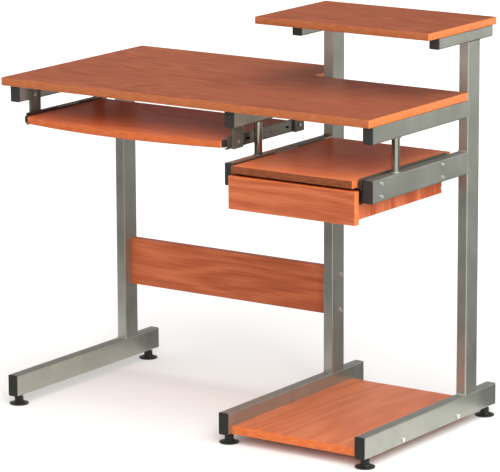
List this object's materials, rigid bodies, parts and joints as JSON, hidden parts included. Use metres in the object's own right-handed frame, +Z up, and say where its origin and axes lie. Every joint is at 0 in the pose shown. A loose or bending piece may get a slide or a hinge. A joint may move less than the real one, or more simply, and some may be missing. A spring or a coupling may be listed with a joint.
{
  "type": "computer desk",
  "caption": "Steel-framed computer desk with a sliding keyboard tray, a sliding accessory shelf over a drawer, a raised top shelf, a modesty panel and a low shelf for the computer case.",
  "frame": {"origin": "on the floor, under the middle of the whole desk's width and depth with everything closed", "axes": "+X to the right of someone who sits at the desk, -Y towards that person, +Z up"},
  "size_m": [0.9944, 0.555, 0.912],
  "materials": {
    "powder_coated_steel": "satin textured powder coat, warm silver-grey",
    "chromed_tube": "polished and chromed",
    "cap_plastic": "moulded, fine texture",
    "foot_plastic": "moulded, fine texture",
    "laminated_board": "satin wood-grain laminate on particle board, edge-banded",
    "hardboard": "smooth hardboard",
    "beech": "fluted dowel wood",
    "slide_zinc": "zinc plated, rolled",
    "hardware_zinc": "zinc plated"
  },
  "bodies": {
    "frame": {"left_foot_beam": "powder_coated_steel", "middle_foot_beam": "powder_coated_steel", "right_foot_beam": "powder_coated_steel", "left_post": "powder_coated_steel", "middle_post": "powder_coated_steel", "right_post": "powder_coated_steel", "left_desk_beam": "powder_coated_steel", "middle_desk_beam": "powder_coated_steel", "right_desk_beam": "powder_coated_steel", "middle_drawer_beam": "powder_coated_steel", "right_drawer_beam": "powder_coated_steel", "middle_top_beam": "powder_coated_steel", "right_top_beam": "powder_coated_steel", "struts": "chromed_tube", "tray_hangers": "powder_coated_steel", "large_end_caps": "cap_plastic", "desk_beam_caps": "cap_plastic", "top_beam_caps": "cap_plastic", "desktop": "laminated_board", "top_shelf": "laminated_board", "modesty_panel": "laminated_board", "computer_shelf": "laminated_board", "tray_left_outer_slide": "slide_zinc", "tray_right_outer_slide": "slide_zinc", "shelf_left_outer_slide": "slide_zinc", "shelf_right_outer_slide": "slide_zinc", "drawer_left_outer_slide": "slide_zinc", "drawer_right_outer_slide": "slide_zinc", "board_bolts": "hardware_zinc", "slide_bolts": "hardware_zinc", "board_screws": "hardware_zinc", "hanger_screws": "hardware_zinc", "barrel_nuts": "hardware_zinc", "foot_inserts": "hardware_zinc"},
    "keyboard_tray": {"keyboard_tray": "laminated_board", "tray_left_inner_slide": "slide_zinc", "tray_right_inner_slide": "slide_zinc", "tray_screws": "hardware_zinc"},
    "tray_ball_cages": {"tray_ball_cages": "slide_zinc"},
    "accessory_shelf": {"accessory_shelf": "laminated_board", "shelf_left_inner_slide": "slide_zinc", "shelf_right_inner_slide": "slide_zinc", "shelf_screws": "hardware_zinc"},
    "shelf_ball_cages": {"shelf_ball_cages": "slide_zinc"},
    "drawer": {"drawer_front": "laminated_board", "drawer_left_side": "laminated_board", "drawer_right_side": "laminated_board", "drawer_back": "laminated_board", "drawer_base": "hardboard", "drawer_dowels": "beech", "drawer_screws": "hardware_zinc", "drawer_left_inner_slide": "slide_zinc", "drawer_right_inner_slide": "slide_zinc"},
    "drawer_ball_cages": {"drawer_ball_cages": "slide_zinc"},
    "left_front_foot": {"left_front_foot": "foot_plastic"},
    "left_back_foot": {"left_back_foot": "foot_plastic"},
    "middle_front_foot": {"middle_front_foot": "foot_plastic"},
    "middle_back_foot": {"middle_back_foot": "foot_plastic"},
    "right_front_foot": {"right_front_foot": "foot_plastic"},
    "right_back_foot": {"right_back_foot": "foot_plastic"}
  },
  "joints": [
    {"name": "keyboard_tray_slide", "type": "slide", "parent": "frame", "child": "keyboard_tray", "axis": [0, -1, 0], "range_m": [0, 0.2]},
    {"name": "tray_cage_slide", "type": "slide", "parent": "frame", "child": "tray_ball_cages", "axis": [0, -1, 0], "range_m": [0, 0.1]},
    {"name": "accessory_shelf_slide", "type": "slide", "parent": "frame", "child": "accessory_shelf", "axis": [0, -1, 0], "range_m": [0, 0.22]},
    {"name": "shelf_cage_slide", "type": "slide", "parent": "frame", "child": "shelf_ball_cages", "axis": [0, -1, 0], "range_m": [0, 0.11]},
    {"name": "drawer_slide", "type": "slide", "parent": "frame", "child": "drawer", "axis": [0, -1, 0], "range_m": [0, 0.22]},
    {"name": "drawer_cage_slide", "type": "slide", "parent": "frame", "child": "drawer_ball_cages", "axis": [0, -1, 0], "range_m": [0, 0.11]},
    {"name": "left_front_foot_height", "type": "slide", "parent": "frame", "child": "left_front_foot", "axis": [0, 0, -1], "range_m": [0, 0.01]},
    {"name": "left_back_foot_height", "type": "slide", "parent": "frame", "child": "left_back_foot", "axis": [0, 0, -1], "range_m": [0, 0.01]},
    {"name": "middle_front_foot_height", "type": "slide", "parent": "frame", "child": "middle_front_foot", "axis": [0, 0, -1], "range_m": [0, 0.01]},
    {"name": "middle_back_foot_height", "type": "slide", "parent": "frame", "child": "middle_back_foot", "axis": [0, 0, -1], "range_m": [0, 0.01]},
    {"name": "right_front_foot_height", "type": "slide", "parent": "frame", "child": "right_front_foot", "axis": [0, 0, -1], "range_m": [0, 0.01]},
    {"name": "right_back_foot_height", "type": "slide", "parent": "frame", "child": "right_back_foot", "axis": [0, 0, -1], "range_m": [0, 0.01]}
  ],
  "couplings": [
    {"joint": "tray_cage_slide", "follows": "keyboard_tray_slide", "ratio": 0.5},
    {"joint": "shelf_cage_slide", "follows": "accessory_shelf_slide", "ratio": 0.5},
    {"joint": "drawer_cage_slide", "follows": "drawer_slide", "ratio": 0.5}
  ]
}
